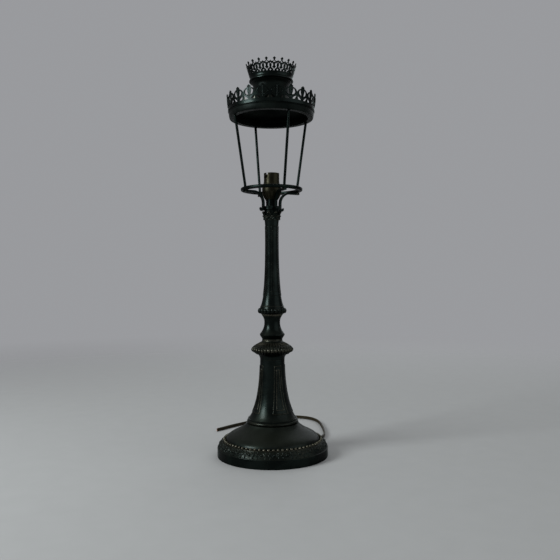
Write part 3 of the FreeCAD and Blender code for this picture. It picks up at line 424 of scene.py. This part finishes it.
# The panels, as stops of height and half angle in degrees.
outer_panel = [(0.0697, 24.0), (0.0748, 22.6), (0.0893, 20.3), (0.111, 17.8), (0.143, 15.8)]
inner_panel = [(0.0754, 12.9), (0.08, 11.6), (0.095, 9.6), (0.111, 8.1), (0.137, 7.0)]
reed_low, reed_high = 0.0785, 0.134
dress(plain_metal, "pedestal")
pedestal_panels, pedestal_reeds = [], []
for quarter in range(4):
    centre = math.pi / 2 * quarter
    pedestal_panels.append(panel_lines(pedestal_line, centre, outer_panel, width=0.0021, height=0.001))
    pedestal_panels.append(panel_lines(pedestal_line, centre, inner_panel, width=0.0019, height=0.0009))
    pedestal_reeds.append(panel_reeds(
        pedestal_line, centre, inner_panel, reed_low, reed_high, width=0.0007, height=0.0004))
line_metal = dark_patina("line_patina", worn=0.52, reach=0.0018, rub=0.18, top_dusting_and_light_amount=0.3)
lay("pedestal_panels", *joined(*pedestal_panels), line_metal, "patinated_metal")
lay("pedestal_reeds", *joined(*pedestal_reeds), plain_metal, "patinated_metal")


# Wide knop: a turned casting with a full lip, chased all round with tongues that overlap up the
# dome. It is the part that hands take hold of, so its tongues are rubbed on their crests.
def arched(first, middle, last, steps):
    """Points of a round lip that passes middle, as a quadratic through three points."""
    control = tuple(2 * m - (a + b) / 2 for a, m, b in zip(first, middle, last))
    line = []
    for i in range(steps + 1):
        t = i / steps
        line.append(tuple((1 - t) ** 2 * a + 2 * t * (1 - t) * c + t * t * b
                          for a, c, b in zip(first, control, last)))
    return line


knop_tongues, steps_per_tongue = 36, 16
# Each row of tongues: its middle and half length as shares of the profile, its tongues' half width as a
# share of their pitch, and its height.
skirt_middle, skirt_half, skirt_tongue, skirt_height = 0.12, 0.08, 0.4, 0.001
lip_middle, lip_half, lip_tongue, lip_height = 0.32, 0.23, 0.45, 0.0019
row_middle, row_half, row_tongue, row_height = 0.52, 0.17, 0.43, 0.0017
tongue_crease, tongue_crease_half = 0.4, 0.06
tongue_sink = 0.0011
turned_steps = 120
knop_base = (
    [(0.0052, 0.1525), (0.0190, 0.1525)]
    + bent((0.0196, 0.1527), (0.0196, 0.15616), (0.0219, 0.1592), (0.0229, 0.15982), 10)
)
knop_line = (
    [(0.0229 + 0.00845 * i / 8, 0.15982 + 0.0055 * i / 8) for i in range(8)]
    + arched((0.03135, 0.1653), (0.033, 0.16806), (0.03135, 0.1708), 14)
    + bent((0.0312, 0.1710), (0.02756, 0.1763), (0.0167, 0.1787), (0.0162, 0.1829), 30)
    + [(0.0158, 0.183), (0.0052, 0.183)]
)


def knop_relief(turn, along):
    """Tongues over the lip, a creased row between them on the dome, and a low skirt beneath."""
    spread = (turn * knop_tongues / (2 * math.pi)) % 1 - 0.5
    offset = (turn * knop_tongues / (2 * math.pi) + 0.5) % 1 - 0.5
    lip = mound((along - lip_middle) / lip_half)
    lower = lip_height * lip * mound(spread / lip_tongue)
    row = mound((along - row_middle) / row_half)
    crease = 1 - tongue_crease * math.exp(-(offset / tongue_crease_half) ** 2)
    upper = row_height * row * mound(offset / row_tongue) * crease
    skirt = skirt_height * mound((along - skirt_middle) / skirt_half) * mound(offset / skirt_tongue)
    return max(lower, upper, skirt) - tongue_sink * max(lip, row)


knop_metal = dark_patina("knop_patina", worn=0.6, reach=0.0035, rub=0.3, top_dusting_and_light_amount=0.6)
lay("wide_knop_base", *chased(knop_base, turned_steps, unraised), plain_metal, "patinated_metal")
knop_skin = chased(knop_line, knop_tongues * steps_per_tongue, knop_relief)
knop = lay("wide_knop_chased", *knop_skin, knop_metal, "patinated_metal")
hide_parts("wide_knop")


# Spool: a plain turned waist with one sharp ridge, slipped over the tie tube like its neighbours.
# It has the foot ring's finish, rubbed along its edges.
dress(ring_metal, "spool_knop")


# Bead collar: a turned collar set with a row of large upright beads, cast in one with it. The core is
# left dark, and wear has bared the crowns of the beads.
collar_core = (
    [(0.0052, 0.224), (0.0173, 0.224), (0.0198, 0.2262)]
    + arched((0.0202, 0.2268), (0.0211, 0.2297), (0.0202, 0.2326), 10)
    + [(0.0199, 0.2333), (0.0192, 0.2356), (0.0188, 0.2367), (0.0052, 0.2367)]
)
collar_metal = dark_patina("collar_patina", worn=0.6, reach=0.003, rub=0.06, top_dusting_and_light_amount=0.5)
lay("bead_collar_core", *chased(collar_core, turned_steps, unraised), plain_metal, "patinated_metal")
collar_row = beads(circle=0.0202, height=0.2297, radius=0.003, count=22, squash=1.4)
collar = lay("bead_collar_beads", *collar_row, collar_metal, "patinated_metal")
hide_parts("bead_collar")


# Shaft: a slender tapered casting, flared a little at its top. Four long double-lined panels stand
# over those of the pedestal, finer and fainter than they are.
shaft_line = bent((0.0188, 0.2367), (0.01429, 0.24564), (0.01045, 0.2711), (0.01045, 0.34678), 60)
shaft_line += bent((0.01045, 0.34678), (0.01045, 0.36192), (0.0109, 0.37017), (0.0118, 0.3743), 12)[1:]
outer_shaft_panel = [(0.254, 29), (0.364, 29)]
inner_shaft_panel = [(0.26, 15), (0.358, 15)]
dress(plain_metal, "shaft")
shaft_panels = []
for quarter in range(4):
    centre = math.pi / 2 * quarter
    shaft_panels.append(panel_lines(shaft_line, centre, outer_shaft_panel, width=0.0011, height=0.0005))
    shaft_panels.append(panel_lines(shaft_line, centre, inner_shaft_panel, width=0.001, height=0.00045))
faint_metal = dark_patina("faint_line_patina", worn=0.13, reach=0.0012, rub=0.1, top_dusting_and_light_amount=0.3)
lay("shaft_panels", *joined(*shaft_panels), faint_metal, "patinated_metal")


# Capital: one casting, a bell under a square top with two rows of eight curled leaves. The veins and
# tips of the leaves stand up from a dark ground and are a little rubbed.
leaf_count = 8
leaf_half_width = 0.0035
leaf_foot_share, leaf_tip_share = 0.6, 0.3
vein_shares = (-0.9, -0.45, 0.0, 0.45, 0.9)
lower_leaf = bent((0.0128, 0.3747), (0.0131, 0.3782), (0.0118, 0.3796), (0.0142, 0.3801), 14)
upper_leaf = bent((0.0128, 0.3783), (0.0131, 0.38305), (0.0132, 0.38495), (0.0156, 0.3862), 14)


def leaf_vein(line, turn, share):
    """A raised vein up one leaf, at a share of its half width."""
    outward, aside = polar(1, turn, 0), polar(1, turn + math.pi / 2, 0)
    path = []
    for i, (radius, height) in enumerate(line):
        t = i / (len(line) - 1)
        width_share = leaf_foot_share * (1 - t) ** 2 + 2 * t * (1 - t) + leaf_tip_share * t * t
        across = share * leaf_half_width * width_share
        before, after = line[max(i - 1, 0)], line[min(i + 1, len(line) - 1)]
        facing = outward * (after[1] - before[1]) + Vector((0, 0, before[0] - after[0]))
        path.append((outward * radius + aside * across + Vector((0, 0, height)), facing.normalized()))
    return raised_line(path, width=0.0011, height=0.0007)


leaf_veins = []
for number in range(leaf_count):
    for line, shift in ((lower_leaf, 0.5), (upper_leaf, 0.0)):
        for share in vein_shares:
            leaf_veins.append(leaf_vein(line, 2 * math.pi * (number + shift) / leaf_count, share))
leaf_tips = joined(
    beads(circle=0.0136, height=0.3808, radius=0.0014, count=leaf_count, squash=0.75,
          start_turn=math.pi / leaf_count),
    beads(circle=0.0149, height=0.3869, radius=0.0016, count=leaf_count, squash=0.75),
)
capital_metal = dark_patina("capital_patina", worn=0.2, reach=0.0012, top_dusting_and_light_amount=0.3, glance=0.3)
leaf_metal = dark_patina(
    "leaf_patina", worn=0.3, reach=0.001, rub=-0.02, top_dusting_and_light_amount=0.6, pitted=0.0003, glance=0.7)
dress(capital_metal, "capital")
lay("capital_leaves", *joined(leaf_tips, *leaf_veins), leaf_metal, "patinated_metal")


# Sleeve, brackets, ring and rods: the brackets are bent from strap and pegged into the capital, and
# the rods are riveted through bracket and ring.
fine_metal = dark_patina("fine_patina", worn=0.12, reach=0.0009, top_dusting_and_light_amount=0.6, pitted=0.0001, glance=0.2)
dress(fine_metal, "neck_sleeve", "lantern_ring")
for number in range(1, 5):
    dress(fine_metal, "bracket_%d" % number, "rod_%d" % number)


# Hood: a spun roof over a ring, with a pressed and pierced gallery soldered round its shoulder, a
# turned neck and a pierced crown. Smoke and heat have dulled it.
gallery_count = 20
gallery_wall = [(0.06915, 0.5495), (0.071, 0.573)]
gallery_half_pitch = 0.01125
gallery_leaf_foot, gallery_leaf_height = 0.5465, 0.0265
smoke_black, smoke_grey = (0.0026, 0.0036, 0.0032, 1), (0.0072, 0.0098, 0.0084, 1)
brown_smoke = (0.017, 0.014, 0.008, 1)


def leaf_rib(number, stops):
    """A fine raised rib on a gallery leaf, along (across, up) stops in half pitches and leaf heights."""
    path = []
    for across, up in stops:
        z = gallery_leaf_foot + up * gallery_leaf_height
        radius = radius_at(gallery_wall, z)
        turn = 2 * math.pi * number / gallery_count + math.atan2(across * gallery_half_pitch, radius)
        path.append((polar(radius, turn, z), polar(1, turn, 0)))
    return raised_line(path, width=0.0012, height=0.0006)


def swept(first, middle, last):
    """Thirteen places on a curve through three."""
    return arched(first, middle, last, 12)


def smoked(name):
    """Patina gone dull and almost black from heat and smoke, flecked with brown."""
    metal = Finish(bpy.data.materials.new(name))
    cloud = metal.noise(scale=38.0, detail=6.0)
    fleck = metal.noise(scale=420.0, detail=3.0)
    ground = metal.mix(metal.step(cloud, 0.34, 0.7), smoke_black, smoke_grey)
    return metal.finish({
        "Base Color": metal.mix(metal.step(fleck, 0.6, 0.78) * 0.4, ground, brown_smoke),
        "Metallic": 0.7 - cloud * 0.2,
        "Roughness": 0.42 + (cloud - 0.5) * 0.3,
        "Specular IOR Level": 0.2,
        "Specular Tint": (0.2, 0.24, 0.22, 1),
        "Normal": metal.bump(cloud * 0.7 + fleck * 0.3, 0.0003),
    })


sheet_metal = dark_patina("sheet_patina", worn=0.1, reach=0.0006, rub=-0.08)
hood_metal = smoked("hood_patina")
dress(hood_metal, "hood_ring", "hood_shell", "chimney_neck")
dress(sheet_metal, "hood_gallery", "crown_gallery")
upright = [(0.0, 0.2 + 0.77 * i / 10) for i in range(11)]
leaf_ribs = []
for number in range(gallery_count):
    leaf_ribs.append(leaf_rib(number, upright))
    for side in (-1, 1):
        curled = swept((side * 0.1, 0.39), (side * 0.73, 0.56), (side * 0.44, 0.78))
        drooping = swept((side * 0.1, 0.92), (side * 0.18, 0.9), (side * 0.2, 0.86))
        leaf_ribs += [leaf_rib(number, curled), leaf_rib(number, drooping)]
lay("gallery_ribs", *joined(*leaf_ribs), sheet_metal, "patinated_metal")


# Lampholder: spun brass cup and shell, toned brown, screwed to the tie tube. Inside are a moulded
# block, two sprung contacts and the terminals under them.
def darker(colour, share):
    """A colour taken down to a share of its strength."""
    return tuple(part * share for part in colour[:3]) + (1,)


def toned_brass(name, colour, bright):
    """Brass gone brown, bright again on its edges."""
    metal = Finish(bpy.data.materials.new(name))
    tarnish = metal.noise(scale=120.0, detail=5.0)
    scratch = metal.noise(scale=1500.0, detail=2.0)
    rubbed = metal.step(metal.edges(0.0007) + (tarnish - 0.5) * 0.8, 0.3, 0.8)
    ground = metal.mix(metal.step(tarnish, 0.35, 0.7), colour, darker(colour, 0.5))
    ground = metal.mix(metal.hollows(0.003) * 0.8, ground, darker(colour, 0.2))
    return metal.finish({
        "Base Color": metal.mix(rubbed, ground, bright),
        "Metallic": 0.85,
        "Specular Tint": (0.4, 0.38, 0.32, 1),
        "Roughness": 0.36 + (tarnish - 0.5) * 0.3,
        "Normal": metal.bump(tarnish * 0.5 + scratch * 0.5, 0.00004),
    })


def moulded(name, colour, roughness):
    """Moulded material with a faint orange-peel skin, and painted shade darkening its hollows."""
    stuff = Finish(bpy.data.materials.new(name))
    skin = stuff.noise(scale=700.0, detail=3.0)
    cloud = stuff.noise(scale=60.0, detail=4.0)
    lighter = tuple(part * 1.7 + 0.004 for part in colour[:3]) + (1,)
    ground = stuff.mix(stuff.step(cloud, 0.3, 0.75), colour, lighter)
    # The base colour is darkened in hollows, such as the groove between the flex's lobes: painted shade.
    return stuff.finish({
        "Base Color": stuff.mix(stuff.hollows(0.002), ground, darker(colour, 0.25)),
        "Roughness": roughness + (skin - 0.5) * 0.2,
        "Specular IOR Level": 0.1,
        "Normal": stuff.bump(skin, 0.00015),
    })


holder_brass = toned_brass("holder_brass", (0.019, 0.0175, 0.0105, 1), (0.05, 0.044, 0.025, 1))
contact_brass = toned_brass("contact_brass", (0.5, 0.36, 0.15, 1), (0.8, 0.62, 0.3, 1))
dress(holder_brass, "holder_cup", "holder_shell")
dress(contact_brass, "contact_plunger_1", "contact_plunger_2", "terminals")
dress(moulded("insulator_block", (0.035, 0.026, 0.02, 1), roughness=0.45), "holder_insulator")


# Contact springs: wound from bright wire, one under each contact. They stand on the terminals and
# are squeezed when a lamp is pushed in.
spring_turns = 5
spring_radius, wire_radius = 0.0019, 0.00025
spring_wire = plain_steel("spring_wire", (0.45, 0.45, 0.46, 1))


def reach_of(node):
    """Lowest and highest corner of a CAD node."""
    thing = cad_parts[node]
    corners = [thing.matrix_world @ Vector(corner) for corner in thing.bound_box]
    return [Vector([pick(corner[k] for corner in corners) for k in range(3)]) for pick in (min, max)]


def coil(middle, low, high):
    """Points and faces of wire wound round an upright line."""
    points, faces = [], []
    sides, steps = 10, 24 * spring_turns
    for i in range(steps + 1):
        outward = polar(1, 2 * math.pi * spring_turns * i / steps, 0)
        place = Vector((middle.x, middle.y, low + (high - low) * i / steps)) + outward * spring_radius
        for k in range(sides):
            turn = 2 * math.pi * k / sides
            rise = Vector((0, 0, wire_radius * math.sin(turn)))
            points.append(place + outward * wire_radius * math.cos(turn) + rise)
    for i in range(steps):
        for k in range(sides):
            a, b = i * sides + k, i * sides + (k + 1) % sides
            faces.append((a, a + sides, b + sides, b))
    faces.append(tuple(range(sides)))
    faces.append(tuple(range(len(points) - 1, len(points) - sides - 1, -1)))
    return points, faces


for number in (1, 2):
    low, high = reach_of("contact_spring_%d" % number)
    middle = (low + high) / 2
    wound = coil(middle, low.z + wire_radius, high.z - wire_radius)
    spring = lay("contact_coil_%d" % number, *wound, spring_wire, "spring_steel")
    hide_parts("contact_spring_%d" % number)
    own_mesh(spring)


# Flex: a flat twin lead in brown-gold sheathing, two round lobes side by side, that comes out of a
# rubber bush, stands on edge on the table behind the foot and is cut off square.
sheath = moulded("flex_sheath", (0.0155, 0.0115, 0.0045, 1), roughness=0.5)
dress(sheath, "inner_flex", "lead_1", "lead_2")
dress(moulded("bush_rubber", (0.02, 0.02, 0.02, 1), roughness=0.6), "cord_bush")
flex_route = [
    (0.08495, 0.03092, 0.0075), (0.1039, 0.0378, 0.0056), (0.128, 0.057, 0.003), (0.148, 0.0925, 0.003),
    (0.167, 0.136, 0.003), (0.1785, 0.170, 0.003), (0.1775, 0.200, 0.003), (0.160, 0.223, 0.003),
    (0.131, 0.234, 0.003), (0.099, 0.234, 0.003), (0.068, 0.2255, 0.003), (0.040, 0.216, 0.003),
    (0.008, 0.2035, 0.003), (-0.0242, 0.1876, 0.003),
]
flex_curve = bpy.data.curves.new("flex_curve", "CURVE")
flex_curve.dimensions = "3D"
flex_curve.resolution_u = 14
flex_spline = flex_curve.splines.new("NURBS")
flex_spline.points.add(len(flex_route) - 1)
for control, place in zip(flex_spline.points, flex_route):
    control.co = (*place, 1)
flex_spline.order_u = 3
flex_spline.use_endpoint_u = True
flex_guide = bpy.data.objects.new("flex_guide", flex_curve)
flex_path = [vertex.co.copy() for vertex in bpy.data.meshes.new_from_object(flex_guide).vertices]
bpy.data.objects.remove(flex_guide)

lobe_radius, lobe_offset = 0.00152, 0.00146
lobe_arc, lobe_steps = 304, 12
lobe_section = []
for first_turn, offset in ((-62, lobe_offset), (118, -lobe_offset)):
    for i in range(lobe_steps + 1):
        turn = math.radians(first_turn + lobe_arc * i / lobe_steps)
        lobe_section.append((lobe_radius * math.cos(turn), offset + lobe_radius * math.sin(turn)))
flex_points, flex_faces = [], []
for i, place in enumerate(flex_path):
    ahead = (flex_path[min(i + 1, len(flex_path) - 1)] - flex_path[max(i - 1, 0)]).normalized()
    aside = ahead.cross(Vector((0, 0, 1))).normalized()
    upward = aside.cross(ahead)
    for across, up in lobe_section:
        flex_points.append(place + aside * across + upward * up)
ring_size = len(lobe_section)
for i in range(len(flex_path) - 1):
    for k in range(ring_size):
        a, b = i * ring_size + k, i * ring_size + (k + 1) % ring_size
        flex_faces.append((a, b, b + ring_size, a + ring_size))
flex_faces.append(tuple(range(ring_size - 1, -1, -1)))
flex_faces.append(tuple(range(len(flex_points) - ring_size, len(flex_points))))
flex = lay("flex_twin", flex_points, flex_faces, sheath, "flex_sheath")
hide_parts("flex")

# Seven copper strands stand out of the cut end of each lobe.
strands_round, strand_spread = 6, 0.00042
strand_radius, strand_sides = 0.0002, 8
strand_back, strand_front = -0.0005, 0.0006
core_points, core_faces = [], []
end_way = (flex_path[-1] - flex_path[-2]).normalized()
end_side = end_way.cross(Vector((0, 0, 1))).normalized()
for lobe in (-1, 1):
    for strand in range(strands_round + 1):
        swing = 2 * math.pi * strand / strands_round
        spread = 0.0 if strand == strands_round else strand_spread
        middle = flex_path[-1] + end_side * spread * math.cos(swing)
        middle = middle + Vector((0, 0, lobe * lobe_offset + spread * math.sin(swing)))
        start = len(core_points)
        for along in (strand_back, strand_front):
            for k in range(strand_sides):
                turn = 2 * math.pi * k / strand_sides
                rise = Vector((0, 0, strand_radius * math.sin(turn)))
                aside = end_side * strand_radius * math.cos(turn)
                core_points.append(middle + end_way * along + aside + rise)
        for k in range(strand_sides):
            a, b = start + k, start + (k + 1) % strand_sides
            core_faces.append((a, b, b + strand_sides, a + strand_sides))
        core_faces.append(tuple(range(start + strand_sides, start + 2 * strand_sides)))
copper = toned_brass("core_copper", (0.5, 0.2, 0.1, 1), (0.8, 0.4, 0.24, 1))
cores = lay("flex_cores", core_points, core_faces, copper, "flex_sheath")


# Studio: pale floor and pale air, a lamp high on the left, broad and weak ones on the right and
# behind, and a camera a metre off at a little under half the lamp's height.
floor_radius, floor_height, floor_sides = 6, -0.0002, 64
fade_start, fade_end = 0.5, 2.4
floor_turns = [2 * math.pi * i / floor_sides for i in range(floor_sides)]
floor_rim = [polar(floor_radius, turn, floor_height) for turn in floor_turns]
floor_mesh = bpy.data.meshes.new("floor")
floor_mesh.from_pydata(floor_rim, [], [tuple(range(floor_sides))])
floor = bpy.data.objects.new("floor", floor_mesh)
bpy.context.collection.objects.link(floor)
paper = Finish(bpy.data.materials.new("floor_paper"))
fibre = paper.noise(scale=30.0, detail=4.0)
spot = paper.add("ShaderNodeTexCoord", {}, {}, "Object")
away = paper.add("ShaderNodeVectorMath", {"operation": "LENGTH"}, {0: spot}, "Value")
floor_mesh.materials.append(paper.finish({
    "Base Color": paper.mix(fibre, (0.40, 0.393, 0.382, 1), (0.43, 0.423, 0.412, 1)),
    "Roughness": 0.9,
    "Alpha": 1 - paper.step(away, fade_start, fade_end),
}))

# The air is a little brighter where it is seen, straight or by reflection, than where it lights.
air_light, air_seen_more = 0.24, 0.1
seen_rays = ("Is Camera Ray", "Is Glossy Ray", "Is Transmission Ray")
world = bpy.data.worlds.new("studio_air")
bpy.context.scene.world = world
air = Finish(world)
seen = sum(air.add("ShaderNodeLightPath", {}, {}, ray) for ray in seen_rays)
air.finish({
    "Color": (0.94, 0.955, 1.0, 1),
    "Strength": air_light + air.step(seen, 0.0, 1.0) * air_seen_more,
}, "Background")
lit_middle = Vector((0, 0, 0.3))


def soft_lamp(name, place, size, power):
    """A square lamp turned to the middle of the part."""
    light = bpy.data.lights.new(name, "AREA")
    light.color = (0.9, 0.97, 1.0)
    light.size = size
    light.energy = power
    lamp = bpy.data.objects.new(name, light)
    lamp.location = place
    lamp.rotation_euler = (lit_middle - Vector(place)).to_track_quat("-Z", "Y").to_euler()
    bpy.context.collection.objects.link(lamp)


soft_lamp("left_lamp", place=(-1.75, -0.12, 1.1), size=0.75, power=33)
soft_lamp("right_lamp", place=(1.1, -1.5, 0.9), size=2.0, power=9)
soft_lamp("back_lamp", place=(1.3, 1.4, 1.3), size=2.2, power=16)

camera = bpy.data.objects.new("camera", bpy.data.cameras.new("camera"))
camera.data.sensor_width = 36.0
camera.data.lens = 41.79
camera.location = (-0.4444, -0.9403, 0.2786)
camera.rotation_euler = (math.radians(90), math.radians(0.24), math.radians(-26))
bpy.context.collection.objects.link(camera)
bpy.context.scene.camera = camera
bpy.context.scene.view_settings.view_transform = "Standard"
